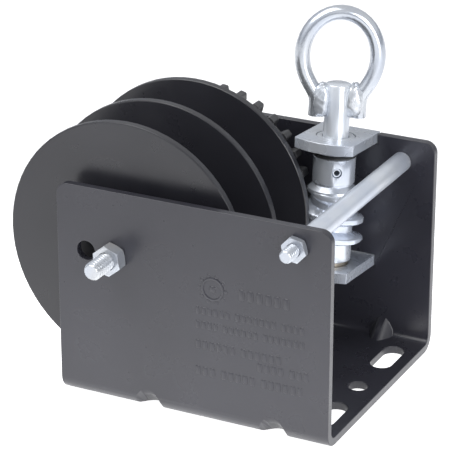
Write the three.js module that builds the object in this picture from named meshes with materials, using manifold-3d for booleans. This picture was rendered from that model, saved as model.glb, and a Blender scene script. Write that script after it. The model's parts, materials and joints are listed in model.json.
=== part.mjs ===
// Worm-gear hand winch with a split drum, for pulling a boat onto its trailer.
// Millimetres, +Z up. Origin: middle of the base's underside. +X runs along the two side plates towards
// the worm, +Y runs from the front plate to the rear plate.
import * as THREE from "three";
import { mergeVertices } from "three/addons/utils/BufferGeometryUtils.js";
import Module from "manifold-3d";

const wasm = await Module();
wasm.setup();

// ---------------------------------------------------------------- driving dimensions

const GAP = 0.3; // clearance kept between neighbouring solids

// Frame: one bent steel plate, with a front plate, a base and a rear plate.
const LENGTH = 204;
const DEPTH = 181.4;
const PLATE = 5.8;
const FRONT_HEIGHT = 157;
const REAR_HEIGHT = 159.3;
const BEND_RADIUS = 11.6; // outside
const CORNER_RADIUS = 8.5;
const HALF_DEPTH = DEPTH / 2;
const INSIDE = HALF_DEPTH - PLATE; // distance from the middle to a plate's inner face

// Gussets pressed into the bends.
// Depths are taken from the sharp corner of the bend; a crown of 1 is round and 2 flows out at its sides.
const DENT = { width: 27, depth: 11.5, crown: 1 };
const RIDGE = { width: 36, depth: 18.2, crown: 2 };
const FRONT_GUSSETS = [-34, 60.5];
const REAR_GUSSETS = [-25, 66];

// Base holes, the same on both sides of the middle.
const BASE_HOLE_X = 85;
const SLOT = { width: 15.9, length: 38, y: 50 };
const BOLT_HOLE = { radius: 7.1, y: -2 };
const ACCESS_HOLE = { x: -79.9, z: 110.6, radius: 6.9 };

// Drum and worm wheel, on one axle bolt.
const DRUM_X = -58.9;
const DRUM_Z = 110;
const FLANGE_RADIUS = 90;
const FLANGE = 5.7;
const FLANGE_Y = { front_flange: -73.6, middle_flange: -24.9, rear_flange: 25.4 };
const CORE = { outer: 30, inner: 26 };
const AXLE_TUBE = { outer: 12.5, inner: 9.3 };
const AXLE_RADIUS = 6.35;
const AXLE_BUSHING = 24; // length
const ROPE_HOLE = 4.5;
const ANCHOR = { screw: 3.2, flats: 10, head: 4.5, reach: 16, nut: 8, nutThick: 5 };
const FRONT_ANCHOR = { radius: 19.5, degrees: -50 };
const REAR_ANCHOR = { radius: 38, degrees: -50 };
const TEETH = 32;
const WHEEL = { tip: 77, root: 70.4, pitch: 74.8, y0: 54, y1: 63.2 };
const PRESSURE_ANGLE = THREE.MathUtils.degToRad(20);
const WHEEL_TOOTH = 6.4; // thickness on the pitch circle

// Worm: left-hand, single start. Its axis leans to the rear by about its lead angle, so that it meshes
// with straight teeth. Positions along the axis are measured from the height of the drum's axis.
const WORM_X = 35.5;
const WORM_Y = 58.6;
const WORM_LEAN = THREE.MathUtils.degToRad(5);
const WORM_PITCH = (2 * Math.PI * WHEEL.pitch) / TEETH;
const WORM = { crest: 23.2, root: 15.5, bore: 9.5 };
const THREAD = { rootWidth: 10.2, crestWidth: 4.6, phase: -8.3, phaseAngle: 24.5 };
const SHAFT_RADIUS = 9.15;
const PIN_HEIGHT = 28.8;
const PIN_HOLE = 3.6;
const EYE_ANGLE = THREE.MathUtils.degToRad(25); // the ring eye's plane, from +X towards +Y
const EYE_WIRE = 5.4;

// Bearing ears.
const EAR_HALF_WIDTH = 22.4;
const EAR = 7.7;
const UPPER_EAR_TOP = 52.6;
const LOWER_EAR_TOP = -41.3;
const BUSHING_RADIUS = 13.7;
const WORM_END = LOWER_EAR_TOP + 3.1; // underside of the worm's lower hub
const SHAFT_END = LOWER_EAR_TOP - EAR - 7;

// Spacer rod between the plates' upper corners.
const ROD = { x: 77.2, z: 142.3, outer: 7.15, inner: 5.2, bolt: 4.76 };

// ---------------------------------------------------------------- materials

const paint = { color: 0x4b4c52, roughness: 0.45, metalness: 0.1 };
const darkPaint = { color: 0x2f3034, roughness: 0.5, metalness: 0.1 };
const zinc = { color: 0xc4c8ce, roughness: 0.3, metalness: 0.9 };
const bronze = { color: 0x9a8468, roughness: 0.45, metalness: 0.8 };
const rubber = { color: 0x141414, roughness: 0.8, metalness: 0 };

// ---------------------------------------------------------------- solids

function isFlat(a, b, c) {
  return a === b || b === c || c === a;
}

function signedVolume(points, faces) {
  const a = new THREE.Vector3();
  const b = new THREE.Vector3();
  const c = new THREE.Vector3();
  let total = 0;
  for (let i = 0; i < faces.length; i += 3) {
    a.fromArray(points, 3 * faces[i]);
    b.fromArray(points, 3 * faces[i + 1]);
    c.fromArray(points, 3 * faces[i + 2]);
    total += a.dot(b.cross(c)) / 6;
  }
  return total;
}

// A manifold solid from a closed three.js geometry, with its faces turned outwards.
function solid(geometry) {
  const bare = geometry.clone();
  bare.deleteAttribute("normal");
  bare.deleteAttribute("uv");
  const merged = mergeVertices(bare, 1e-3);
  const points = merged.attributes.position.array;
  const index = merged.index.array;
  const faces = [];
  for (let i = 0; i < index.length; i += 3) {
    const [a, b, c] = [index[i], index[i + 1], index[i + 2]];
    if (!isFlat(a, b, c)) faces.push(a, b, c);
  }
  if (signedVolume(points, faces) < 0) faces.reverse();
  const vertProperties = Float32Array.from(points);
  const triVerts = Uint32Array.from(faces);
  return new wasm.Manifold(new wasm.Mesh({ numProp: 3, vertProperties, triVerts }));
}

function geometryOf(manifold) {
  const mesh = manifold.getMesh();
  const geometry = new THREE.BufferGeometry();
  geometry.setAttribute("position", new THREE.BufferAttribute(Float32Array.from(mesh.vertProperties), 3));
  geometry.setIndex(new THREE.BufferAttribute(Uint32Array.from(mesh.triVerts), 1));
  geometry.computeVertexNormals();
  return geometry;
}

function cut(body, ...tools) {
  return tools.reduce((rest, tool) => rest.subtract(tool), body);
}

function join(first, ...others) {
  return others.reduce((whole, other) => whole.add(other), first);
}

// A flat outline in X and Z, given its thickness from y0 to y1.
function slabAlongY(shape, y0, y1, curveSegments = 4) {
  const geometry = new THREE.ExtrudeGeometry(shape, { depth: y1 - y0, bevelEnabled: false, curveSegments });
  geometry.rotateX(Math.PI / 2);
  geometry.translate(0, y1, 0);
  return solid(geometry);
}

// A flat outline in X and Y, given its thickness from z0 to z1.
function slabAlongZ(shape, z0, z1, curveSegments = 5) {
  const geometry = new THREE.ExtrudeGeometry(shape, { depth: z1 - z0, bevelEnabled: false, curveSegments });
  geometry.translate(0, 0, z0);
  return solid(geometry);
}

function cylinderAlongY(x, z, radius, y0, y1, segments = 28) {
  const geometry = new THREE.CylinderGeometry(radius, radius, y1 - y0, segments);
  geometry.translate(x, (y0 + y1) / 2, z);
  return solid(geometry);
}

// A turned piece: profile points are [radius, distance along the axis].
function turned(profile, segments) {
  const points = profile.map(([radius, along]) => new THREE.Vector2(radius, along));
  return new THREE.LatheGeometry(points, segments);
}

function turnedAlongY(profile, segments = 28) {
  return solid(turned(profile, segments));
}

function turnedAlongZ(profile, segments = 28) {
  const geometry = turned(profile, segments);
  geometry.rotateX(Math.PI / 2);
  return solid(geometry);
}

// A ring's closed profile, with both outer edges chamfered.
function ringProfile(inner, outer, start, end, chamfer = 0) {
  return [
    [inner, start],
    [outer - chamfer, start],
    ...(chamfer > 0 ? [[outer, start + chamfer], [outer, end - chamfer]] : []),
    [outer - chamfer, end],
    [inner, end],
    [inner, start],
  ];
}

function hexagon(acrossFlats, turn = 0) {
  const radius = acrossFlats / Math.sqrt(3);
  const shape = new THREE.Shape();
  for (let i = 0; i < 6; i += 1) {
    const angle = turn + Math.PI / 2 + (i * Math.PI) / 3;
    const x = radius * Math.cos(angle);
    const y = radius * Math.sin(angle);
    if (i === 0) shape.moveTo(x, y);
    else shape.lineTo(x, y);
  }
  shape.closePath();
  return shape;
}

// A hexagon prism on the Y axis, its corners turned down by a cone at both faces.
function hexBlock(acrossFlats, y0, y1, turn) {
  const corner = acrossFlats / Math.sqrt(3);
  const crown = (corner - acrossFlats / 2) * 0.6;
  const cone = turnedAlongY(
    [
      [0, y0],
      [acrossFlats / 2, y0],
      [corner + 0.05, y0 + crown],
      [corner + 0.05, y1 - crown],
      [acrossFlats / 2, y1],
      [0, y1],
    ],
    24,
  );
  return slabAlongY(hexagon(acrossFlats, turn), y0, y1).intersect(cone);
}

const group = new THREE.Group();

function place(name, manifold, look, position = [0, 0, 0], parent = group) {
  const mesh = new THREE.Mesh(geometryOf(manifold), new THREE.MeshStandardMaterial(look));
  mesh.name = name;
  mesh.position.set(...position);
  parent.add(mesh);
}

// ---------------------------------------------------------------- frame

// The bent plate's section in Y and Z, with both legs longer than needed.
function channelSection() {
  const tall = REAR_HEIGHT + 10;
  const inner = BEND_RADIUS - PLATE;
  const shape = new THREE.Shape();
  shape.moveTo(-HALF_DEPTH, tall);
  shape.lineTo(-HALF_DEPTH, BEND_RADIUS);
  shape.absarc(-HALF_DEPTH + BEND_RADIUS, BEND_RADIUS, BEND_RADIUS, Math.PI, 1.5 * Math.PI, false);
  shape.absarc(HALF_DEPTH - BEND_RADIUS, BEND_RADIUS, BEND_RADIUS, 1.5 * Math.PI, 2 * Math.PI, false);
  shape.lineTo(HALF_DEPTH, tall);
  shape.lineTo(INSIDE, tall);
  shape.absarc(HALF_DEPTH - BEND_RADIUS, BEND_RADIUS, inner, 0, -0.5 * Math.PI, true);
  shape.absarc(-HALF_DEPTH + BEND_RADIUS, BEND_RADIUS, inner, 1.5 * Math.PI, Math.PI, true);
  shape.lineTo(-INSIDE, tall);
  shape.closePath();
  return shape;
}

function channel() {
  const geometry = new THREE.ExtrudeGeometry(channelSection(), {
    depth: LENGTH,
    bevelEnabled: false,
    curveSegments: 4,
  });
  const turn = new THREE.Matrix4().makeBasis(
    new THREE.Vector3(0, 1, 0),
    new THREE.Vector3(0, 0, 1),
    new THREE.Vector3(1, 0, 0),
  );
  geometry.applyMatrix4(turn);
  geometry.translate(-LENGTH / 2, 0, 0);
  return solid(geometry);
}

// A side plate's outline in X and Z, with its upper corners rounded.
function plateOutline(height) {
  const half = LENGTH / 2 + 1;
  const corner = LENGTH / 2 - CORNER_RADIUS;
  const shape = new THREE.Shape();
  shape.moveTo(-half, -1);
  shape.lineTo(half, -1);
  shape.lineTo(half, height - CORNER_RADIUS);
  shape.lineTo(LENGTH / 2, height - CORNER_RADIUS);
  shape.absarc(corner, height - CORNER_RADIUS, CORNER_RADIUS, 0, Math.PI / 2, false);
  shape.absarc(-corner, height - CORNER_RADIUS, CORNER_RADIUS, Math.PI / 2, Math.PI, false);
  shape.lineTo(-half, height - CORNER_RADIUS);
  shape.closePath();
  return shape;
}

// A rounded wedge that runs across a bend at 45 degrees. Its crown lies `depth` in from the sharp corner.
function gussetWedge(x, side, { width, depth, crown }) {
  const steps = 14;
  const reach = 60;
  const shape = new THREE.Shape();
  shape.moveTo(-width / 2, -reach);
  for (let i = 0; i <= steps; i += 1) {
    const across = -1 + (2 * i) / steps;
    shape.lineTo((across * width) / 2, depth * (1 - across * across) ** crown);
  }
  shape.lineTo(width / 2, -reach);
  shape.closePath();
  const geometry = new THREE.ExtrudeGeometry(shape, { depth: 2 * reach, bevelEnabled: false });
  const inward = new THREE.Vector3(0, -side, 1).normalize();
  const along = new THREE.Vector3(1, 0, 0).cross(inward);
  geometry.translate(0, 0, -reach);
  geometry.applyMatrix4(new THREE.Matrix4().makeBasis(new THREE.Vector3(1, 0, 0), inward, along));
  geometry.translate(x, side * HALF_DEPTH, 0);
  return solid(geometry);
}

// The space between the plates, used to keep the raised ridges on the inside of the bends.
function insideBlock() {
  const geometry = new THREE.BoxGeometry(LENGTH, 2 * INSIDE, 60);
  geometry.translate(0, 0, PLATE / 2 + 30);
  return solid(geometry);
}

function slotOutline(x, y, width, length) {
  const radius = width / 2;
  const reach = length / 2 - radius;
  const shape = new THREE.Shape();
  shape.absarc(x, y + reach, radius, 0, Math.PI, false);
  shape.absarc(x, y - reach, radius, Math.PI, 2 * Math.PI, false);
  shape.closePath();
  return shape;
}

function circleOutline(x, y, radius) {
  const shape = new THREE.Shape();
  shape.absarc(x, y, radius, 0, 2 * Math.PI, false);
  return shape;
}

function rectangleOutline(x0, x1, y0, y1) {
  const shape = new THREE.Shape();
  shape.moveTo(x0, y0);
  shape.lineTo(x1, y0);
  shape.lineTo(x1, y1);
  shape.lineTo(x0, y1);
  shape.closePath();
  return shape;
}

function baseHoles() {
  const tools = [];
  for (const x of [-BASE_HOLE_X, BASE_HOLE_X]) {
    for (const y of [-SLOT.y, SLOT.y]) {
      tools.push(slabAlongZ(slotOutline(x, y, SLOT.width, SLOT.length), -1, PLATE + 1));
    }
    tools.push(slabAlongZ(circleOutline(x, BOLT_HOLE.y, BOLT_HOLE.radius), -1, PLATE + 1, 10));
  }
  return tools;
}

function plateHoles() {
  return [
    cylinderAlongY(DRUM_X, DRUM_Z, AXLE_RADIUS + GAP, -HALF_DEPTH - 1, HALF_DEPTH + 1),
    cylinderAlongY(ROD.x, ROD.z, ROD.bolt + GAP, -HALF_DEPTH - 1, HALF_DEPTH + 1, 24),
    cylinderAlongY(ACCESS_HOLE.x, ACCESS_HOLE.z, ACCESS_HOLE.radius, -HALF_DEPTH - 1, -INSIDE + 1, 28),
  ];
}

// Height of a plane square to the worm's axis, at distance `along` the axis, where it crosses a given y.
function earHeight(along, y) {
  const axisY = WORM_Y + along * Math.sin(WORM_LEAN);
  const axisZ = DRUM_Z + along * Math.cos(WORM_LEAN);
  return axisZ - (y - axisY) * Math.tan(WORM_LEAN);
}

// The notch that holds the upper ear and the slot that holds the lower one.
function earSeats() {
  const half = EAR_HALF_WIDTH + GAP;
  const notchFloor = earHeight(UPPER_EAR_TOP - EAR, HALF_DEPTH) - 2 * GAP;
  const slotFloor = earHeight(LOWER_EAR_TOP - EAR, HALF_DEPTH) - 2 * GAP;
  const slotRoof = earHeight(LOWER_EAR_TOP, INSIDE) + 2 * GAP;
  const notch = rectangleOutline(WORM_X - half, WORM_X + half, notchFloor, REAR_HEIGHT + 1);
  const slot = rectangleOutline(WORM_X - half, WORM_X + half, slotFloor, slotRoof);
  return [notch, slot].map((outline) => slabAlongY(outline, INSIDE - 1, HALF_DEPTH + 1));
}

function buildFrame() {
  const outlines = join(
    slabAlongY(plateOutline(FRONT_HEIGHT), -HALF_DEPTH - 1, 0),
    slabAlongY(plateOutline(REAR_HEIGHT), -0.01, HALF_DEPTH + 1),
  );
  const gussets = [
    ...FRONT_GUSSETS.map((x) => ({ x, side: -1 })),
    ...REAR_GUSSETS.map((x) => ({ x, side: 1 })),
  ];
  const ridges = gussets.map(({ x, side }) => gussetWedge(x, side, RIDGE).intersect(insideBlock()));
  const dents = gussets.map(({ x, side }) => gussetWedge(x, side, DENT));
  const body = join(channel().intersect(outlines), ...ridges);
  return cut(body, ...dents, ...baseHoles(), ...plateHoles(), ...earSeats());
}

place("frame", buildFrame(), paint);

// ---------------------------------------------------------------- drum

const drum = new THREE.Group();
drum.position.set(DRUM_X, 0, DRUM_Z);
group.add(drum);

function anchorCentre({ radius, degrees }) {
  const angle = THREE.MathUtils.degToRad(degrees);
  return [radius * Math.cos(angle), radius * Math.sin(angle)];
}

// Each rope is clamped under a screw that passes through an outer flange.
const anchors = { front_flange: FRONT_ANCHOR, rear_flange: REAR_ANCHOR };

function buildFlange(y, anchor) {
  const disc = turnedAlongY(ringProfile(AXLE_TUBE.outer + GAP, FLANGE_RADIUS, y, y + FLANGE, 0.6), 72);
  if (!anchor) return disc;
  const [x, z] = anchorCentre(anchor);
  return cut(disc, cylinderAlongY(x, z, ANCHOR.screw + GAP, y - 1, y + FLANGE + 1, 16));
}

function placeOnDrum(name, manifold, look) {
  place(name, manifold, look, [0, 0, 0], drum);
}

for (const [name, y] of Object.entries(FLANGE_Y)) {
  placeOnDrum(name, buildFlange(y, anchors[name]), darkPaint);
}

function buildCore(start, end) {
  return turnedAlongY(ringProfile(CORE.inner, CORE.outer, start + GAP, end - GAP), 40);
}

// The front rope's end goes through this hole in the core, to the screw inside it.
function ropeHole(y) {
  const geometry = new THREE.CylinderGeometry(ROPE_HOLE, ROPE_HOLE, CORE.outer, 16);
  geometry.rotateZ(-Math.PI / 2);
  geometry.translate(CORE.outer, 0, 0);
  geometry.rotateY(THREE.MathUtils.degToRad(-FRONT_ANCHOR.degrees));
  geometry.translate(0, y, 0);
  return solid(geometry);
}

const frontCore = buildCore(FLANGE_Y.front_flange + FLANGE, FLANGE_Y.middle_flange);
placeOnDrum("front_core", cut(frontCore, ropeHole(FLANGE_Y.front_flange + FLANGE + 9)), darkPaint);
placeOnDrum("rear_core", buildCore(FLANGE_Y.middle_flange + FLANGE, FLANGE_Y.rear_flange), darkPaint);

// A screw whose head lies against the flange's outer face at y, and the square nut on its other side.
// `side` is -1 where the head is in front of the flange and 1 where it is behind.
function buildAnchorScrew(y, side) {
  const seat = y + side * GAP;
  const top = seat + side * ANCHOR.head;
  const tip = seat - side * ANCHOR.reach;
  const [low, high] = [Math.min(seat, top), Math.max(seat, top)];
  const start = seat + (side * ANCHOR.head) / 2;
  const shank = cylinderAlongY(0, 0, ANCHOR.screw, Math.min(tip, start), Math.max(tip, start), 16);
  return join(hexBlock(ANCHOR.flats, low, high, 0), shank);
}

function buildAnchorNut(y, side) {
  const near = y - side * (FLANGE + GAP);
  const far = near - side * ANCHOR.nutThick;
  const [low, high] = [Math.min(near, far), Math.max(near, far)];
  const half = ANCHOR.nut / 2;
  const block = slabAlongY(rectangleOutline(-half, half, -half, half), low, high);
  return cut(block, cylinderAlongY(0, 0, ANCHOR.screw + GAP, low - 1, high + 1, 16));
}

function placeAnchor(label, anchor, y, side) {
  const [x, z] = anchorCentre(anchor);
  place(`${label}_anchor_screw`, buildAnchorScrew(y, side), zinc, [x, 0, z], drum);
  place(`${label}_anchor_nut`, buildAnchorNut(y, side), zinc, [x, 0, z], drum);
}

placeAnchor("front", FRONT_ANCHOR, FLANGE_Y.front_flange, -1);
placeAnchor("rear", REAR_ANCHOR, FLANGE_Y.rear_flange + FLANGE, 1);

const tubeEnd = INSIDE - 2 * GAP;
const axleTube = ringProfile(AXLE_TUBE.inner, AXLE_TUBE.outer, -tubeEnd, tubeEnd);
placeOnDrum("axle_tube", turnedAlongY(axleTube), zinc);

function buildAxleBushing(start) {
  return turnedAlongY(ringProfile(AXLE_RADIUS + GAP, AXLE_TUBE.inner - GAP, start, start + AXLE_BUSHING));
}

placeOnDrum("front_axle_bushing", buildAxleBushing(-tubeEnd), bronze);
placeOnDrum("rear_axle_bushing", buildAxleBushing(tubeEnd - AXLE_BUSHING), bronze);

const wheelBore = AXLE_TUBE.outer + GAP;
const wheelHub = ringProfile(wheelBore, 24, FLANGE_Y.rear_flange + FLANGE + GAP, WHEEL.y0 - GAP, 0.8);
const wheelSpacer = ringProfile(wheelBore, 19, WHEEL.y1 + GAP, INSIDE - 1, 0.8);
placeOnDrum("wheel_hub", turnedAlongY(wheelHub), darkPaint);
placeOnDrum("wheel_spacer", turnedAlongY(wheelSpacer), zinc);

function involute(angle) {
  return Math.tan(angle) - angle;
}

// Half of a tooth's angle at a radius, on an involute flank.
function toothHalfAngle(radius) {
  const base = WHEEL.pitch * Math.cos(PRESSURE_ANGLE);
  const pressure = Math.acos(Math.min(1, base / radius));
  return WHEEL_TOOTH / 2 / WHEEL.pitch + involute(PRESSURE_ANGLE) - involute(pressure);
}

// The wheel's outline in X and Z. A gap between two teeth points along +X, at the worm.
function wheelOutline() {
  const radii = [WHEEL.root, 72.8, 75, WHEEL.tip - 0.5];
  const tipInset = 0.008;
  const shape = new THREE.Shape();
  for (let tooth = 0; tooth < TEETH; tooth += 1) {
    const middle = ((tooth + 0.5) * 2 * Math.PI) / TEETH;
    const rise = radii.map((radius) => [radius, middle - toothHalfAngle(radius)]);
    const fall = radii.map((radius) => [radius, middle + toothHalfAngle(radius)]).reverse();
    const tipHalf = toothHalfAngle(WHEEL.tip) - tipInset;
    const tip = [[WHEEL.tip, middle - tipHalf], [WHEEL.tip, middle + tipHalf]];
    for (const [radius, angle] of [...rise, ...tip, ...fall]) {
      const x = radius * Math.cos(angle);
      const z = radius * Math.sin(angle);
      if (tooth === 0 && radius === radii[0] && angle < middle) shape.moveTo(x, z);
      else shape.lineTo(x, z);
    }
  }
  shape.closePath();
  return shape;
}

function buildWheel() {
  const bore = cylinderAlongY(0, 0, wheelBore, WHEEL.y0 - 1, WHEEL.y1 + 1);
  return cut(slabAlongY(wheelOutline(), WHEEL.y0, WHEEL.y1), bore);
}

placeOnDrum("worm_wheel", buildWheel(), darkPaint);

// ---------------------------------------------------------------- axle bolt and spacer rod

const AXLE_NUT = { flats: 19.05, thick: 9.8, turn: THREE.MathUtils.degToRad(9.2) };
const ROD_NUT = { flats: 15.9, thick: 4.8, turn: THREE.MathUtils.degToRad(17.7) };

// A bolt along Y whose head lies behind the rear plate and whose rounded end passes the front plate.
function buildBolt(radius, flats, headThick, tip) {
  const seat = HALF_DEPTH + GAP;
  const shank = turnedAlongY(
    [
      [0, tip],
      [radius * 0.55, tip + 0.25],
      [radius * 0.86, tip + radius * 0.22],
      [radius, tip + radius * 0.5],
      [radius, seat + 1],
      [0, seat + 1],
    ],
    28,
  );
  return join(hexBlock(flats, seat, seat + headThick, 0), shank);
}

function buildNut(nut, boltRadius) {
  const back = -HALF_DEPTH - GAP;
  const hole = cylinderAlongY(0, 0, boltRadius + GAP, back - nut.thick - 1, back + 1, 28);
  return cut(hexBlock(nut.flats, back - nut.thick, back, nut.turn), hole);
}

const axlePlace = [DRUM_X, 0, DRUM_Z];
const rodPlace = [ROD.x, 0, ROD.z];
place("axle_bolt", buildBolt(AXLE_RADIUS, 19.05, 8, -120.7), zinc, axlePlace);
place("axle_nut", buildNut(AXLE_NUT, AXLE_RADIUS), zinc, axlePlace);
place("rod_bolt", buildBolt(ROD.bolt, 14.3, 6, -108), zinc, rodPlace);
place("rod_nut", buildNut(ROD_NUT, ROD.bolt), zinc, rodPlace);

const rodEnd = INSIDE - GAP;
place("spacer_rod", turnedAlongY(ringProfile(ROD.inner, ROD.outer, -rodEnd, rodEnd)), zinc, rodPlace);

// ---------------------------------------------------------------- worm and its bearings

// Everything on the worm's axis is drawn upright and leaned with this group.
const upright = new THREE.Group();
upright.position.set(WORM_X, WORM_Y, DRUM_Z);
upright.rotation.x = -WORM_LEAN;
group.add(upright);

function placeUpright(name, manifold, look) {
  place(name, manifold, look, [0, 0, 0], upright);
}

// An ear's outline: straight sides, a bowed front edge and a straight end flush with the rear plate.
function earOutline(frontCorner, bow, along) {
  const axisY = WORM_Y + along * Math.sin(WORM_LEAN);
  const back = (HALF_DEPTH - axisY) / Math.cos(WORM_LEAN);
  const radius = (EAR_HALF_WIDTH ** 2 + bow ** 2) / (2 * bow);
  const spread = Math.asin(EAR_HALF_WIDTH / radius);
  const centre = -frontCorner - bow + radius;
  const shape = new THREE.Shape();
  shape.moveTo(-EAR_HALF_WIDTH, back);
  shape.lineTo(-EAR_HALF_WIDTH, -frontCorner);
  shape.absarc(0, centre, radius, 1.5 * Math.PI - spread, 1.5 * Math.PI + spread, false);
  shape.lineTo(EAR_HALF_WIDTH, back);
  shape.closePath();
  return shape;
}

function buildEar(top, frontCorner, bow) {
  const bottom = top - EAR;
  const plate = slabAlongZ(earOutline(frontCorner, bow, top), bottom, top);
  return cut(plate, slabAlongZ(circleOutline(0, 0, BUSHING_RADIUS + GAP), bottom - 1, top + 1, 14));
}

function buildRing(inner, outer, start, end, chamfer = 0) {
  return turnedAlongZ(ringProfile(inner, outer, start, end, chamfer), 28);
}

placeUpright("upper_ear", buildEar(UPPER_EAR_TOP, 20.2, 6.3), zinc);
placeUpright("lower_ear", buildEar(LOWER_EAR_TOP, 19.2, 4), zinc);

// Rings on the shaft: their outer radius, the lower and upper end, the chamfer and the look.
const upperSeat = UPPER_EAR_TOP - EAR;
const lowerSeat = LOWER_EAR_TOP - EAR;
const rings = {
  upper_bushing: [BUSHING_RADIUS, upperSeat, UPPER_EAR_TOP - 0.4, 0, zinc],
  lower_bushing: [BUSHING_RADIUS, lowerSeat, LOWER_EAR_TOP, 0, bronze],
  thrust_washer: [16, upperSeat - 2, upperSeat - GAP, 0, rubber],
  upper_washer: [15.4, upperSeat - 3.9, upperSeat - 2.3, 0, zinc],
  seal_ring: [16.3, 38.3, upperSeat - 4.2, 0.9, rubber],
  lower_washer: [13.6, LOWER_EAR_TOP + GAP, WORM_END - GAP, 0, bronze],
};
for (const [name, [outer, start, end, chamfer, look]] of Object.entries(rings)) {
  placeUpright(name, buildRing(WORM.bore, outer, start, end, chamfer), look);
}

// A section in radius and height, swept along the worm's helix. `grow` scales its height at each angle.
function sweepThread(firstDegree, lastDegree, grow) {
  const inner = WORM.bore + 1.5;
  const shoulder = WORM.crest - 0.9;
  const section = [
    [inner, -THREAD.rootWidth / 2],
    [WORM.root, -THREAD.rootWidth / 2],
    [shoulder, -THREAD.crestWidth / 2],
    [WORM.crest, -THREAD.crestWidth / 2 + 0.8],
    [WORM.crest, THREAD.crestWidth / 2 - 0.8],
    [shoulder, THREAD.crestWidth / 2],
    [WORM.root, THREAD.rootWidth / 2],
    [inner, THREAD.rootWidth / 2],
  ];
  const stepDegrees = 16;
  const steps = Math.round((lastDegree - firstDegree) / stepDegrees);
  const points = [];
  const faces = [];
  const count = section.length;
  for (let i = 0; i <= steps; i += 1) {
    const degrees = firstDegree + ((lastDegree - firstDegree) * i) / steps;
    const angle = THREE.MathUtils.degToRad(degrees);
    const middle = THREAD.phase - (WORM_PITCH * (degrees - THREAD.phaseAngle)) / 360;
    const share = grow(degrees);
    for (const [radius, height] of section) {
      const reach = radius > WORM.root ? WORM.root + (radius - WORM.root) * share : radius;
      points.push(reach * Math.cos(angle), reach * Math.sin(angle), middle + height);
    }
  }
  for (let i = 0; i < steps; i += 1) {
    for (let j = 0; j < count; j += 1) {
      const a = i * count + j;
      const b = i * count + ((j + 1) % count);
      faces.push(a, b, a + count, b, b + count, a + count);
    }
  }
  for (let j = 1; j < count - 1; j += 1) {
    const end = steps * count;
    faces.push(0, j + 1, j);
    faces.push(end, end + j, end + j + 1);
  }
  const geometry = new THREE.BufferGeometry();
  geometry.setAttribute("position", new THREE.Float32BufferAttribute(points, 3));
  geometry.setIndex(faces);
  return solid(geometry);
}

// The turned shape that the thread is cut into, from the lower shoulder up to the collar.
function wormBlank() {
  return turnedAlongZ(
    [
      [0, WORM_END],
      [14.8, WORM_END],
      [15.3, WORM_END + 0.5],
      [15.3, -22.6],
      [WORM.crest, -22.6],
      [WORM.crest, 7.5],
      [18.1, 13.2],
      [17.9, 14.4],
      [14.1, 17.6],
      [14.1, 18.9],
      [15.2, 19.5],
      [15.2, 37.4],
      [14.6, 38],
      [0, 38],
    ],
    32,
  );
}

// What is solid at every angle: the blank without the depth of the thread.
function wormCore() {
  return turnedAlongZ(
    [
      [0, WORM_END],
      [14.8, WORM_END],
      [15.3, WORM_END + 0.5],
      [WORM.root, 9.4],
      [18.1, 12.2],
      [18.1, 13.2],
      [17.9, 14.4],
      [14.1, 17.6],
      [14.1, 18.9],
      [15.2, 19.5],
      [15.2, 37.4],
      [14.6, 38],
      [0, 38],
    ],
    32,
  );
}

function crossHole(angle) {
  const geometry = new THREE.CylinderGeometry(PIN_HOLE, PIN_HOLE, 60, 20);
  geometry.rotateZ(Math.PI / 2);
  geometry.rotateZ(angle);
  geometry.translate(0, 0, PIN_HEIGHT);
  return solid(geometry);
}

const pinAngle = EYE_ANGLE - Math.PI / 2 + THREE.MathUtils.degToRad(7);

function buildWorm() {
  const end = 470;
  const thread = sweepThread(-end, end, (degrees) => THREE.MathUtils.clamp((degrees + end) / 120, 0.4, 1));
  const bore = turnedAlongZ([[0, -40], [WORM.bore, -40], [WORM.bore, 40], [0, 40]], 32);
  return cut(join(wormCore(), thread.intersect(wormBlank())), bore, crossHole(pinAngle));
}

const ringSeat = SHAFT_END + 3; // underside of the retaining ring in its groove

function buildShaft() {
  const body = turnedAlongZ(
    [
      [0, SHAFT_END],
      [SHAFT_RADIUS - 1, SHAFT_END],
      [SHAFT_RADIUS, SHAFT_END + 1],
      [SHAFT_RADIUS, ringSeat - 0.2],
      [SHAFT_RADIUS - 1.2, ringSeat - 0.2],
      [SHAFT_RADIUS - 1.2, ringSeat + 1.6],
      [SHAFT_RADIUS, ringSeat + 1.6],
      [SHAFT_RADIUS, 89],
      [SHAFT_RADIUS - 0.5, 90],
      [SHAFT_RADIUS - 1.6, 90.4],
      [0, 90.4],
    ],
    28,
  );
  return cut(body, crossHole(pinAngle));
}

function buildPin() {
  const half = 14.2;
  const profile = ringProfile(2, PIN_HOLE - GAP, -half, half, 0.5);
  const geometry = turned(profile, 20);
  geometry.rotateZ(Math.PI / 2);
  geometry.rotateZ(pinAngle);
  geometry.translate(0, 0, PIN_HEIGHT);
  return solid(geometry);
}

placeUpright("worm", buildWorm(), zinc);
placeUpright("worm_shaft", buildShaft(), zinc);
placeUpright("roll_pin", buildPin(), zinc);
placeUpright("retaining_ring", buildRing(SHAFT_RADIUS - 0.9, 12, ringSeat, ringSeat + 1.4), zinc);

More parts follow.
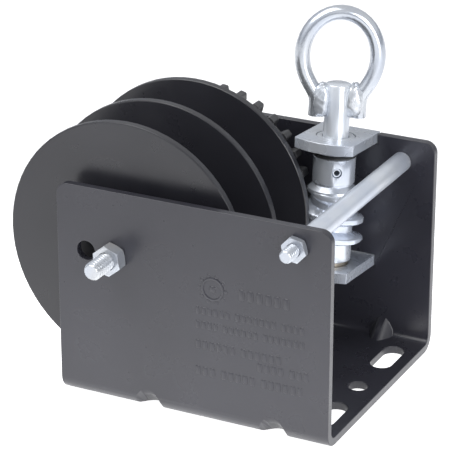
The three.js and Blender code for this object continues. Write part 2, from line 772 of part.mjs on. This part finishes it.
// The ring eye: round bar bent to a loop, its two straight legs beside the shaft.
function eyePath() {
  const leg = SHAFT_RADIUS + EYE_WIRE + GAP;
  const wide = 26.3;
  const flare = 78;
  const widest = 110;
  const top = 140.8;
  const round = 0.5523;
  const at = (x, z) => new THREE.Vector3(x, 0, z);
  const half = (side) => [
    new THREE.LineCurve3(at(side * leg, 66.5), at(side * leg, flare)),
    new THREE.CubicBezierCurve3(
      at(side * leg, flare),
      at(side * leg, 85),
      at(side * wide, 92),
      at(side * wide, widest),
    ),
    new THREE.CubicBezierCurve3(
      at(side * wide, widest),
      at(side * wide, widest + round * (top - widest)),
      at(side * wide * round, top),
      at(0, top),
    ),
  ];
  const reversed = half(-1).reverse().map((curve) => {
    if (curve.isLineCurve3) return new THREE.LineCurve3(curve.v2, curve.v1);
    return new THREE.CubicBezierCurve3(curve.v3, curve.v2, curve.v1, curve.v0);
  });
  const path = new THREE.CurvePath();
  path.curves = [...half(1), ...reversed];
  return path;
}

function buildEye() {
  const geometry = new THREE.ExtrudeGeometry(circleOutline(0, 0, EYE_WIRE), {
    steps: 40,
    curveSegments: 6,
    bevelEnabled: false,
    extrudePath: eyePath(),
  });
  geometry.rotateZ(EYE_ANGLE);
  return solid(geometry);
}

placeUpright("ring_eye", buildEye(), zinc);

export default group;
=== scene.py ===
"""Looks, light and camera for the worm-gear hand winch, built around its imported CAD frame."""

import json
import math

import bmesh
import bpy
from mathutils import Matrix, Vector, noise


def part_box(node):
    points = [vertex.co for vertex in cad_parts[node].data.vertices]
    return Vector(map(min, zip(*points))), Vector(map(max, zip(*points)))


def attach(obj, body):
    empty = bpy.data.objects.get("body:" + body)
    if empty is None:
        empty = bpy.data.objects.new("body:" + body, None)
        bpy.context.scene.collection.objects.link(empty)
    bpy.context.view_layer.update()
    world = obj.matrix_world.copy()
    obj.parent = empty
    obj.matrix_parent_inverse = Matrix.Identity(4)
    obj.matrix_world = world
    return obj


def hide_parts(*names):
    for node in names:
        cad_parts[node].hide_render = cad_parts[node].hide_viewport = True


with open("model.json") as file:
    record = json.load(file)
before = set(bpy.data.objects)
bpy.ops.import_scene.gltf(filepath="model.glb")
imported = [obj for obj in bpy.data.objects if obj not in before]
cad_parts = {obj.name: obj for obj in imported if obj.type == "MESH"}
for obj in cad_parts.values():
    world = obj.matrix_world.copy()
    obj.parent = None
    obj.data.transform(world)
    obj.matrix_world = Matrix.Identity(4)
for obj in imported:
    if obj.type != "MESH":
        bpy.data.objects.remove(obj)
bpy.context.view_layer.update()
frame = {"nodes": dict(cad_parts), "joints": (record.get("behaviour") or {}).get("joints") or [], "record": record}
NODES = frame["nodes"]
MM = 0.001
# Pieces made in millimetres are brought to metres by this.
TO_METRES = Matrix.Scale(MM, 4)

# ---------------------------------------------------------------- places read from the frame


def joint(name):
    return next(j for j in frame["joints"] if j["name"] == name)


DRUM_AXIS = Vector(joint("drum_spin")["pos_m"]) / MM
WORM_ORIGIN = Vector(joint("worm_spin")["pos_m"])
WORM_LEAN = math.atan2(*joint("worm_spin")["axis"][1:])
# The ring eye's turn about the worm's axis at rest.
EYE_TURN = math.radians(25)
WORM_PLACE = Matrix.Translation(WORM_ORIGIN) @ Matrix.Rotation(-WORM_LEAN, 4, "X")
EYE_PLACE = WORM_PLACE @ Matrix.Rotation(EYE_TURN, 4, "Z")

# ---------------------------------------------------------------- node helpers


class Look:
    """A material being built: adds nodes and links them."""

    def __init__(self, name):
        self.material = bpy.data.materials.new(name)
        self.material.use_nodes = True
        self.tree = self.material.node_tree
        self.shader = self.tree.nodes["Principled BSDF"]
        self.coords = self.add("ShaderNodeTexCoord").outputs["Object"]

    def add(self, kind, **values):
        node = self.tree.nodes.new(kind)
        for key, value in values.items():
            setattr(node, key, value)
        return node

    def link(self, source, target):
        self.tree.links.new(source, target)

    def set(self, **values):
        for key, value in values.items():
            self.shader.inputs[key.replace("_", " ")].default_value = value

    def moved(self, scale=(1, 1, 1), rotation=(0, 0, 0), source=None):
        """Object coordinates, or a source's, turned and then scaled."""
        node = self.add("ShaderNodeMapping")
        node.inputs["Scale"].default_value = scale
        node.inputs["Rotation"].default_value = rotation
        self.link(source or self.coords, node.inputs["Vector"])
        return node.outputs["Vector"]

    def noise(self, scale, detail, rough=0.5, source=None):
        node = self.add("ShaderNodeTexNoise")
        node.inputs["Scale"].default_value = scale
        node.inputs["Detail"].default_value = detail
        node.inputs["Roughness"].default_value = rough
        self.link(source or self.coords, node.inputs["Vector"])
        return node.outputs["Fac"]

    def ramp(self, source, low, high, start=0.3, end=0.7):
        """Maps source from start..end to low..high, smoothly."""
        node = self.add("ShaderNodeMapRange", interpolation_type="SMOOTHSTEP")
        for key, value in (("From Min", start), ("From Max", end), ("To Min", low), ("To Max", high)):
            node.inputs[key].default_value = value
        self.link(source, node.inputs["Value"])
        return node.outputs["Result"]

    def mix(self, factor, first, second):
        """Mixes two colours, each a tuple or an output."""
        node = self.add("ShaderNodeMix", data_type="RGBA")
        factor_socket, first_socket, second_socket = node.inputs[0], node.inputs[6], node.inputs[7]
        for socket, value in ((first_socket, first), (second_socket, second)):
            if isinstance(value, tuple):
                socket.default_value = (*value, 1)
            else:
                self.link(value, socket)
        self.link(factor, factor_socket)
        colour_output = node.outputs[2]
        return colour_output

    def colour(self, source):
        self.link(source, self.shader.inputs["Base Color"])

    def roughness(self, source):
        self.link(source, self.shader.inputs["Roughness"])

    def bump(self, *layers):
        """Each layer is (height, distance in metres, strength)."""
        normal = None
        for height, distance, strength in layers:
            node = self.add("ShaderNodeBump")
            node.inputs["Distance"].default_value = distance
            node.inputs["Strength"].default_value = strength
            self.link(height, node.inputs["Height"])
            if normal:
                self.link(normal, node.inputs["Normal"])
            normal = node.outputs["Normal"]
        self.link(normal, self.shader.inputs["Normal"])


# ---------------------------------------------------------------- materials

PAINT_IOR = 1.56
SPECK_SHARE = 0.15
SPECK_LIGHTER = 1.5
ZINC_BLUE = (0.46, 0.50, 0.58)
ZINC_PALE = (0.57, 0.595, 0.63)
ZINC_STRAW = (0.60, 0.585, 0.55)
BRONZE_DARK = (0.33, 0.29, 0.24)
BRONZE_LIGHT = (0.46, 0.41, 0.34)
BRONZE_PORE = (0.08, 0.06, 0.04)
RUBBER_DARK = (0.012, 0.012, 0.013)
RUBBER_LIGHT = (0.028, 0.028, 0.030)
# Noise scales are in features for each metre.
# These stretch the noise into lines, long one way and fine the others.
TURNED_SCALE = (8, 8, 2600)
DRAWN_SCALE = (1700, 14, 1700)
GROUND_SCALE = (30, 1500, 1500)


def toned(colour, tone):
    return tuple(tone * part for part in colour)


def powder_coat(name, dark, light, gloss, grain=1.0):
    """Satin powder coat: orange peel, slow changes of tone and gloss, and fine specks."""
    look = Look(name)
    patches = look.noise(9, 2)
    rubbed = look.noise(60, 4)
    orange_peel = look.noise(300, 1)
    specks = look.noise(800, 2)
    tone = look.mix(look.ramp(patches, 0, 1), dark, light)
    speck_mix = look.ramp(specks, 0, SPECK_SHARE * grain, 0.45, 0.8)
    look.colour(look.mix(speck_mix, tone, toned(light, SPECK_LIGHTER)))
    look.roughness(look.ramp(rubbed, gloss - 0.05, gloss + 0.06, 0.2, 0.8))
    look.set(IOR=PAINT_IOR)
    look.bump((orange_peel, 0.00010, 0.12 * grain), (specks, 0.00003, 0.05 * grain))
    return look.material


def plated(name, rough, warm, tone, metallic=0.5, marks=None):
    """Bright zinc plating over steel: bluish and faintly yellow patches, and the marks left by making."""
    look = Look(name)
    blue, pale, straw = (toned(colour, tone) for colour in (ZINC_BLUE, ZINC_PALE, ZINC_STRAW))
    blue_patches = look.noise(24, 2)
    warm_patches = look.noise(21, 2)
    rubbed = look.noise(60, 2)
    crystals = look.noise(700, 2)
    tint = look.mix(look.ramp(blue_patches, 0, 1, 0.25, 0.75), blue, pale)
    look.colour(look.mix(look.ramp(warm_patches, 0, warm, 0.5, 0.75), tint, straw))
    look.set(Metallic=metallic)
    look.roughness(look.ramp(rubbed, rough - 0.04, rough + 0.05, 0.25, 0.75))
    layers = [(crystals, 0.00003, 0.06)]
    if marks:
        layers.append(marks(look))
    look.bump(*layers)
    return look.material


def turned_marks(look):
    """Fine grooves round the worm's axis."""
    upright = look.moved(rotation=(WORM_LEAN, 0, 0))
    lines = look.noise(1.0, 3, 0.7, look.moved(scale=TURNED_SCALE, source=upright))
    return lines, 0.00004, 0.2


def drawn_marks(look):
    """Fine lines along the drum's axis, as on drawn tube and bar."""
    return look.noise(1.0, 3, 0.7, look.moved(scale=DRAWN_SCALE)), 0.00003, 0.10


def ground_marks(look):
    """Fine lines along the plates, as left by grinding."""
    return look.noise(1.0, 3, 0.7, look.moved(scale=GROUND_SCALE)), 0.00003, 0.10


def lumpy_marks(look):
    """The uneven skin of weld metal under its plating."""
    return look.noise(320, 2), 0.0001, 0.15


def oiled_bronze(name):
    """Sintered bronze, its pores dark with oil."""
    look = Look(name)
    patches = look.noise(70, 3)
    rubbed = look.noise(110, 3)
    pores = look.noise(1900, 2, 0.7)
    tone = look.mix(look.ramp(patches, 0, 1), BRONZE_DARK, BRONZE_LIGHT)
    look.colour(look.mix(look.ramp(pores, 0, 0.7, 0.6, 0.75), tone, BRONZE_PORE))
    look.set(Metallic=0.9)
    look.roughness(look.ramp(rubbed, 0.3, 0.5))
    look.bump((pores, 0.00006, 0.4))
    return look.material


def black_rubber(name):
    """Matt rubber and nylon, a little mottled."""
    look = Look(name)
    mottle = look.noise(320, 3)
    rubbed = look.noise(90, 3)
    pits = look.noise(1400, 2)
    look.colour(look.mix(look.ramp(mottle, 0, 1), RUBBER_DARK, RUBBER_LIGHT))
    look.roughness(look.ramp(rubbed, 0.42, 0.62))
    look.bump((pits, 0.00006, 0.4))
    return look.material


LOOKS = {
    "frame_paint": powder_coat("frame_paint", (0.022, 0.022, 0.029), (0.029, 0.029, 0.038), 0.30),
    "drum_paint": powder_coat("drum_paint", (0.014, 0.014, 0.018), (0.020, 0.020, 0.025), 0.31),
    "wheel_steel": powder_coat("wheel_steel", (0.030, 0.030, 0.033), (0.052, 0.052, 0.056), 0.42, grain=1.6),
    "zinc_plate": plated("zinc_plate", 0.26, warm=0.15, tone=0.98, marks=ground_marks),
    "zinc_turned": plated("zinc_turned", 0.24, warm=0.15, tone=1.3, metallic=0.6, marks=turned_marks),
    "zinc_bar": plated("zinc_bar", 0.20, warm=0.15, tone=1.05, metallic=0.75),
    "zinc_rod": plated("zinc_rod", 0.32, warm=0.1, tone=1.12, marks=drawn_marks),
    "zinc_fastener": plated("zinc_fastener", 0.22, warm=0.8, tone=0.92, metallic=0.65),
    "zinc_weld": plated("zinc_weld", 0.24, warm=0.2, tone=1.1, metallic=0.6, marks=lumpy_marks),
    "bronze": oiled_bronze("bronze"),
    "black_rubber": black_rubber("black_rubber"),
}


def dress(obj, look):
    obj.data.materials.clear()
    obj.data.materials.append(LOOKS[look])


for subpart in frame["record"]["subparts"]:
    dress(NODES[subpart["node"]], subpart["material_slot"])

# ---------------------------------------------------------------- rounded edges on the CAD nodes

# Short edges at the gussets would hold the whole frame's rounding back, so its width isn't clamped,
# and only the edges sharper than those of its bends are rounded.
OPEN_WIDTH = {"frame"}
OPEN_ANGLE = math.radians(55)
EDGE_ANGLE = math.radians(32)
EDGE_SEGMENTS = 3
FLAT_ANGLE = math.radians(0.4)
WELD_DISTANCE = 0.004 * MM
FACE_WEIGHT = 60
# Nodes with curved sides, whose smooth shading follows their facets.
ROUND_NODES = {"worm", "worm_shaft", "ring_eye", "spacer_rod", "front_core", "rear_core", "axle_tube"}
# The nodes to round, by width in millimetres.
EDGES = {
    0.9: ["front_flange", "middle_flange", "rear_flange"],
    0.7: ["upper_ear", "lower_ear"],
    0.5: ["frame", "worm_wheel", "worm", "upper_bushing", "lower_bushing"],
    0.3: ["axle_nut", "rod_nut", "worm_shaft", "wheel_hub", "wheel_spacer", "spacer_rod"],
    0.2: [
        "axle_tube", "front_core", "rear_core",
        "front_anchor_screw", "front_anchor_nut", "rear_anchor_screw",
    ],
    0.15: [
        "rear_anchor_nut", "roll_pin", "retaining_ring",
        "ring_eye", "upper_washer", "lower_washer",
    ],
    0.12: ["front_axle_bushing", "rear_axle_bushing"],
    0.1: ["thrust_washer", "seal_ring"],
}


def clear_shading(mesh):
    """Drops the flat shading that the CAD export leaves."""
    for name in ("custom_normal", "sharp_edge", "sharp_face"):
        attribute = mesh.attributes.get(name)
        if attribute:
            mesh.attributes.remove(attribute)
    mesh.shade_smooth()


def round_edges(node, width):
    """Rounds a node's sharp edges, to a width in millimetres."""
    obj = NODES[node]
    clear_shading(obj.data)
    weld = obj.modifiers.new("weld", "WELD")
    weld.merge_threshold = WELD_DISTANCE
    flat = obj.modifiers.new("flat", "DECIMATE")
    flat.decimate_type = "DISSOLVE"
    flat.angle_limit = FLAT_ANGLE
    clamped = node not in OPEN_WIDTH
    bevel = obj.modifiers.new("bevel", "BEVEL")
    bevel.width = width * MM
    bevel.segments = EDGE_SEGMENTS
    bevel.limit_method = "ANGLE"
    bevel.angle_limit = EDGE_ANGLE if clamped else OPEN_ANGLE
    bevel.miter_outer = "MITER_ARC"
    bevel.use_clamp_overlap = clamped
    bevel.loop_slide = clamped
    if node not in ROUND_NODES:
        normals = obj.modifiers.new("normals", "WEIGHTED_NORMAL")
        normals.weight = FACE_WEIGHT


for width, names in EDGES.items():
    for name in names:
        round_edges(name, width)

# ---------------------------------------------------------------- making new pieces

SHARP_ANGLE = math.radians(35)


def turns(count):
    """The angles of equal steps round a full turn."""
    return [2 * math.pi * step / count for step in range(count)]


def make_piece(name, skin, look, body, place=TO_METRES):
    """A piece from its skin, which is (vertices, faces), riding a body."""
    verts, faces = skin
    mesh = bpy.data.meshes.new(name)
    mesh.from_pydata([tuple(point) for point in verts], [], faces)
    mesh.validate()
    mesh.transform(place)
    work = bmesh.new()
    work.from_mesh(mesh)
    bmesh.ops.recalc_face_normals(work, faces=work.faces)
    work.to_mesh(mesh)
    work.free()
    mesh.shade_smooth()
    mesh.set_sharp_from_angle(angle=SHARP_ANGLE)
    obj = bpy.data.objects.new(name, mesh)
    bpy.context.scene.collection.objects.link(obj)
    dress(obj, look)
    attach(obj, body)
    return obj


def loft(rings, closed=False):
    """A skin through rings of equal length, capped at both ends unless closed."""
    count, total = len(rings[0]), len(rings)
    verts = [point for ring in rings for point in ring]
    faces = []
    for i in range(total if closed else total - 1):
        here, ahead = i * count, (i + 1) % total * count
        for j in range(count):
            beside = (j + 1) % count
            faces.append((here + j, here + beside, ahead + beside, ahead + j))
    if not closed:
        faces.append(tuple(range(count)))
        faces.append(tuple(range((total - 1) * count, total * count)))
    return verts, faces


def join_skins(skins):
    """One skin from several."""
    verts, faces = [], []
    for skin_verts, skin_faces in skins:
        offset = len(verts)
        verts += skin_verts
        faces += [tuple(i + offset for i in face) for face in skin_faces]
    return verts, faces


# ---------------------------------------------------------------- threaded bolts

BAR_AROUND = 64
RINGS_PER_PITCH = 10
# Depth of the thread, as a share of its pitch.
THREAD_DEPTH = 0.61
# Flat root and flank of the thread, as shares of half its pitch.
THREAD_ROOT = 0.12
THREAD_FLANK = 0.74
# Radius of the chamfered end, as a share of the bar's, and how fast it grows.
CHAMFER_SHARE = 0.76
CHAMFER_SLOPE = 0.9
THREAD_LENGTH = 42
HEX_AROUND = 60
# A head's outline: share of its corner radius, and distance from its free face as a share of its width.
HEX_CHAMFER = [(1.0, 0.12), (0.985, 0.05), (0.94, 0.012), (0.86, 0), (0.5, 0)]
HEAD_GAP = 0.3
# How far the bar reaches into its head.
HEAD_OVERLAP = 1


def thread_height(phase):
    """Height of a rolled thread, 0 to 1, over one pitch."""
    rise = abs(2 * (phase % 1) - 1)
    return min(1.0, max(0.0, (rise - THREAD_ROOT) / THREAD_FLANK))


def threaded_bar(radius, start, end, pitch):
    """A bar on the Y axis from start to end, threaded and chamfered at its start."""
    thread_end = start + THREAD_LENGTH
    steps = int(THREAD_LENGTH / pitch * RINGS_PER_PITCH)
    rings = []
    for i in range(steps + 1):
        y = start + THREAD_LENGTH * i / steps
        limit = min(radius, CHAMFER_SHARE * radius + CHAMFER_SLOPE * (y - start))
        fade = min(1.0, (thread_end - y) / pitch)
        ring = []
        for j, turn in enumerate(turns(BAR_AROUND)):
            low = 1 - thread_height(y / pitch - j / BAR_AROUND)
            r = min(limit, radius - THREAD_DEPTH * pitch * low * fade)
            ring.append((r * math.cos(turn), y, r * math.sin(turn)))
        rings.append(ring)
    rings.append([(radius * math.cos(turn), end, radius * math.sin(turn)) for turn in turns(BAR_AROUND)])
    return loft(rings)


def hex_head(width, seat, end):
    """A hexagon head from its seat to its end, where its corners are turned down."""
    corner = width / math.sqrt(3)
    rings = []
    for share, y in [(1.0, seat)] + [(share, end - back * width) for share, back in HEX_CHAMFER]:
        ring = []
        for turn in turns(HEX_AROUND):
            off_flat = turn % (math.pi / 3) - math.pi / 6
            r = min(width / 2 / math.cos(off_flat), corner * share)
            ring.append((r * math.cos(turn), y, r * math.sin(turn)))
        rings.append(ring)
    return loft(rings)


def build_bolt(node, radius, head_width, pitch):
    """A threaded bolt with a hexagon head that stands for a plain CAD bolt."""
    low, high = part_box(node)
    centre = (low + high) / 2
    start, end = low.y / MM, high.y / MM
    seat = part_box("frame")[1].y / MM + HEAD_GAP
    bar = threaded_bar(radius, start, seat + HEAD_OVERLAP, pitch)
    head = hex_head(head_width, seat, end)
    place = Matrix.Translation((centre.x, 0, centre.z)) @ TO_METRES
    piece = make_piece(f"{node}_threaded", join_skins([bar, head]), "zinc_fastener", "frame", place)
    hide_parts(node)


build_bolt("axle_bolt", radius=6.35, head_width=19.0, pitch=2.7)
build_bolt("rod_bolt", radius=4.76, head_width=14.3, pitch=2.3)

# ---------------------------------------------------------------- weld beads

# Distances of the ring eye's welds from the worm's axis, their height, and their half sizes.
EYE_WELD_SIDE = 11.2
EYE_WELD_FACE = 4.6
EYE_WELD_HEIGHT = 78.5
EYE_WELD_SIZE = (5.9, 4.7, 11.0)
LUMP_AROUND = 28
LUMP_LEVELS = 44
# The share of the half turn from pole to pole that is left out at each end of a lump.
LUMP_POLE = 0.04
# A lump's ripples: their depth, how close they lie, and how far they bow.
RIPPLE_DEPTH = 0.022
RIPPLE_RATE = 11
RIPPLE_BOW = 2.4
# A power below 1 makes a lump fuller than an oval.
LUMP_FULLNESS = 0.7
# Unevenness of the welds, and the scale of its noise.
LUMP_UNEVEN = 0.16
LUMP_NOISE = 1.3
SEED_STEP = 5.3
BEAD_UNEVEN = 0.14
BEAD_NOISE = 9
BEAD_RADIUS = 1.7
# How far a core's bead lies in from the core's end.
BEAD_INSET = 0.6
BEAD_AROUND = 10
BEAD_CORNERS = 72
BEAD_STEPS = 3
# Depth of a bead's ripples, and their length in steps.
BEAD_RIPPLE_DEPTH = 0.09
BEAD_RIPPLE = 4.5
Y_AXIS = Vector((0, 1, 0))


def weld_lump(name, centre, seed):
    """A short heavy weld on the worm: an uneven oval lump crossed by the ripples of the weld pool."""
    wide_x, wide_y, tall = EYE_WELD_SIZE
    rings = []
    for i in range(LUMP_LEVELS + 1):
        rise = math.pi * (LUMP_POLE + (1 - 2 * LUMP_POLE) * i / LUMP_LEVELS)
        height = -math.cos(rise)
        ring = []
        for turn in turns(LUMP_AROUND):
            out = Vector((math.cos(turn), math.sin(turn), height))
            ripple = 1 + RIPPLE_DEPTH * math.sin(height * RIPPLE_RATE + RIPPLE_BOW * math.cos(turn))
            uneven = 1 + LUMP_UNEVEN * noise.noise(out * LUMP_NOISE + Vector((seed * SEED_STEP, 0, 0)))
            wide = math.sin(rise) ** LUMP_FULLNESS * ripple * uneven
            ring.append((centre[0] + wide_x * wide * out.x, centre[1] + wide_y * wide * out.y,
                         centre[2] + tall * height * uneven))
        rings.append(ring)
    make_piece(name, loft(rings), "zinc_weld", "worm", EYE_PLACE @ TO_METRES)


def core_weld(name, core, end):
    """A weld bead round the front, -1, or rear, 1, end of a drum core, where it meets a flange."""
    low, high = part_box(core)
    y = (low.y if end < 0 else high.y) / MM - BEAD_INSET * end
    radius = (high.x - low.x) / 2 / MM
    path = [Vector((DRUM_AXIS.x + radius * math.cos(turn), y, DRUM_AXIS.z + radius * math.sin(turn)))
            for turn in turns(BEAD_CORNERS)]
    centre = sum(path, Vector()) / BEAD_CORNERS
    rings = []
    for i in range(BEAD_CORNERS * BEAD_STEPS):
        corner, step = divmod(i, BEAD_STEPS)
        point = path[corner].lerp(path[(corner + 1) % BEAD_CORNERS], step / BEAD_STEPS)
        out = (point - centre).normalized()
        ripple = 1 + BEAD_RIPPLE_DEPTH * math.sin(2 * math.pi * i / BEAD_RIPPLE)
        r = BEAD_RADIUS * ripple * (1 + BEAD_UNEVEN * noise.noise(out * BEAD_NOISE + centre))
        rings.append([point + r * (math.cos(turn) * out + math.sin(turn) * Y_AXIS)
                      for turn in turns(BEAD_AROUND)])
    make_piece(name, loft(rings, closed=True), "drum_paint", "drum")


for side, side_name in ((-1, "left"), (1, "right")):
    for face, face_name in ((-1, "front"), (1, "back")):
        place = (side * EYE_WELD_SIDE, face * EYE_WELD_FACE, EYE_WELD_HEIGHT)
        weld_lump(f"eye_weld_{side_name}_{face_name}", place, seed=side + 3 * face)
for core in ("front_core", "rear_core"):
    core_weld(core + "_weld_front", core, -1)
    core_weld(core + "_weld_rear", core, 1)

# ---------------------------------------------------------------- raised marks on the front plate

# Plain blocks and a plain gear stand where the real plate has raised lettering.
PLATE_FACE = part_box("frame")[0].y / MM
# Sections of the raised shapes: how far in from the edge, or out from the middle, and how high.
BLOCK_SECTION = [(-0.35, -0.2), (-0.2, 0.12), (0.08, 0.42), (0.3, 0.5)]
RING_SECTION = [(-1.0, -0.2), (-0.8, 0.3), (-0.35, 0.5), (0.35, 0.5), (0.8, 0.3), (1.0, -0.2)]
BLOCK_CORNER = 0.32
CORNER_STEPS = 3
RING_AROUND = 48
GEAR_TEETH = 10
GEAR_TOOTH = 2.1
GEAR_HUB = 4.2
# Width, pitch and gap of the blocks, as shares of a row's height and of the pitch.
BLOCK_WIDTH = 0.52
BLOCK_PITCH = 0.86
GROUP_GAP = 0.6
GEAR = {"x": 16.5, "z": 101, "radius": 7.6}
# Each row is (left end, middle height, block height, blocks in each group).
MARK_ROWS = [
    (36, 101, 7.6, (6,)),
    (4, 84, 5.2, (6, 7, 4)),
    (4, 73.5, 5.2, (4, 6, 7)),
    (4, 59, 6.0, (6, 6)),
    (50, 51, 6.0, (4, 3)),
    (4, 39.5, 6.2, (3, 5, 6)),
]


def raised_block(x, z, width, height):
    """A low block with rounded corners that stands out of the front plate."""
    corner = BLOCK_CORNER * min(width, height)
    rings = []
    for inset, rise in BLOCK_SECTION:
        ring = []
        rounding = corner - inset
        for quarter, (right, up) in enumerate(((1, 1), (-1, 1), (-1, -1), (1, -1))):
            middle_x = x + right * (width / 2 - corner)
            middle_z = z + up * (height / 2 - corner)
            for step in range(CORNER_STEPS + 1):
                turn = math.pi / 2 * (quarter + step / CORNER_STEPS)
                ring.append((middle_x + rounding * math.cos(turn), PLATE_FACE - rise,
                             middle_z + rounding * math.sin(turn)))
        rings.append(ring)
    return loft(rings)


def raised_gear(x, z, radius):
    """A plain gear outline: a raised ring with short teeth around it and a block in its middle."""
    rings = []
    for turn in turns(RING_AROUND):
        across, up = math.cos(turn), math.sin(turn)
        rings.append([(x + (radius + out) * across, PLATE_FACE - rise, z + (radius + out) * up)
                      for out, rise in RING_SECTION])
    skins = [loft(rings, closed=True)]
    reach = radius + GEAR_TOOTH
    for turn in turns(GEAR_TEETH):
        tooth_x, tooth_z = x + reach * math.cos(turn), z + reach * math.sin(turn)
        skins.append(raised_block(tooth_x, tooth_z, GEAR_TOOTH, GEAR_TOOTH))
    skins.append(raised_block(x, z, GEAR_HUB, GEAR_HUB))
    return skins


def block_row(start, z, height, groups):
    """A row of upright blocks in groups."""
    width, pitch = BLOCK_WIDTH * height, BLOCK_PITCH * height
    x = start + width / 2
    skins = []
    for count in groups:
        for _ in range(count):
            skins.append(raised_block(x, z, width, height))
            x += pitch
        x += GROUP_GAP * pitch
    return skins


marks = raised_gear(**GEAR)
for row in MARK_ROWS:
    marks += block_row(*row)
make_piece("front_marks", join_skins(marks), "frame_paint", "frame")

# ---------------------------------------------------------------- floor, light and camera

FLOOR_HALF = 12
FLOOR_DROP = 0.0004
FLOOR_COLOUR = (0.86, 0.86, 0.87, 1)
WHITE = (1, 1, 1, 1)
# The floor's own glow, a painted pool of light: strong inside the near radius, weak beyond the far one.
POOL_NEAR, POOL_FAR = 0.08, 0.48
POOL_STRONG, POOL_WEAK = 1.0, 0.25
# The surround's colours by the sine of the height above the horizon.
SKY = [
    (0.0, (0.40, 0.42, 0.46)),
    (0.15, (0.38, 0.41, 0.46)),
    (0.33, (0.92, 0.94, 0.97)),
    (1.0, (0.8, 0.8, 0.8)),
]
SKY_STRENGTH = 0.75
# Each light is (name, place, size, watts), and points at the winch's middle.
SOFTBOXES = [
    ("overhead", (-0.5, -0.55, 1.5), (1.3, 1.3), 19),
    ("front_left", (-1.5, -1.5, 0.9), (1.8, 1.6), 3),
    ("right", (1.7, -1.0, 0.75), (0.9, 1.4), 22),
]
WINCH_MIDDLE = (0, 0, 0.1)
CAMERA_PLACE = (0.6597, -1.3499, 0.7325)
CAMERA_TARGET = (-0.01996, 0, 0.10687)
LENS = 186.9
SENSOR = 36
CLIP_START, CLIP_END = 0.05, 100


def pale_floor():
    """A pale table top that glows more strongly around the object: a painted pool of light."""
    look = Look("floor")
    look.set(Base_Color=FLOOR_COLOUR, Roughness=0.9, Emission_Color=WHITE)
    away = look.add("ShaderNodeVectorMath", operation="LENGTH")
    look.link(look.coords, away.inputs[0])
    # Painted light: the floor's glow fades with distance from the object's origin.
    painted_light_pool = look.ramp(away.outputs["Value"], POOL_STRONG, POOL_WEAK, POOL_NEAR, POOL_FAR)
    look.link(painted_light_pool, look.shader.inputs["Emission Strength"])
    mesh = bpy.data.meshes.new("floor")
    corners = [(x * FLOOR_HALF, y * FLOOR_HALF, 0) for x, y in ((-1, -1), (1, -1), (1, 1), (-1, 1))]
    mesh.from_pydata(corners, [], [(0, 1, 2, 3)])
    mesh.materials.append(look.material)
    floor = bpy.data.objects.new("floor", mesh)
    bpy.context.scene.collection.objects.link(floor)
    floor.location.z = -FLOOR_DROP


def aim(obj, target):
    obj.rotation_mode = "QUATERNION"
    obj.rotation_quaternion = (Vector(target) - obj.location).to_track_quat("-Z", "Y")


def softbox(name, place, size, power):
    light = bpy.data.lights.new(name, "AREA")
    light.shape = "RECTANGLE"
    light.size, light.size_y = size
    light.energy = power
    obj = bpy.data.objects.new(name, light)
    obj.location = place
    aim(obj, WINCH_MIDDLE)
    bpy.context.scene.collection.objects.link(obj)


def studio_world():
    """A pale surround: lighter overhead, a cooler and darker band near the horizon."""
    world = bpy.data.worlds.new("studio")
    bpy.context.scene.world = world
    world.use_nodes = True
    tree = world.node_tree
    background = tree.nodes["Background"]
    coords = tree.nodes.new("ShaderNodeTexCoord")
    split = tree.nodes.new("ShaderNodeSeparateXYZ")
    ramp = tree.nodes.new("ShaderNodeValToRGB")
    tree.links.new(coords.outputs["Generated"], split.inputs[0])
    tree.links.new(split.outputs["Z"], ramp.inputs["Fac"])
    for _ in range(len(SKY) - 2):
        ramp.color_ramp.elements.new(0.5)
    for element, (position, colour) in zip(ramp.color_ramp.elements, SKY):
        element.position = position
        element.color = (*colour, 1)
    tree.links.new(ramp.outputs["Color"], background.inputs["Color"])
    background.inputs["Strength"].default_value = SKY_STRENGTH


def add_camera():
    data = bpy.data.cameras.new("camera")
    data.sensor_width = SENSOR
    data.lens = LENS
    data.clip_start, data.clip_end = CLIP_START, CLIP_END
    camera = bpy.data.objects.new("camera", data)
    camera.location = CAMERA_PLACE
    aim(camera, CAMERA_TARGET)
    bpy.context.scene.collection.objects.link(camera)
    bpy.context.scene.camera = camera


pale_floor()
studio_world()
for name, place, size, power in SOFTBOXES:
    softbox(name, place, size, power)
add_camera()
bpy.context.scene.view_settings.view_transform = "Standard"
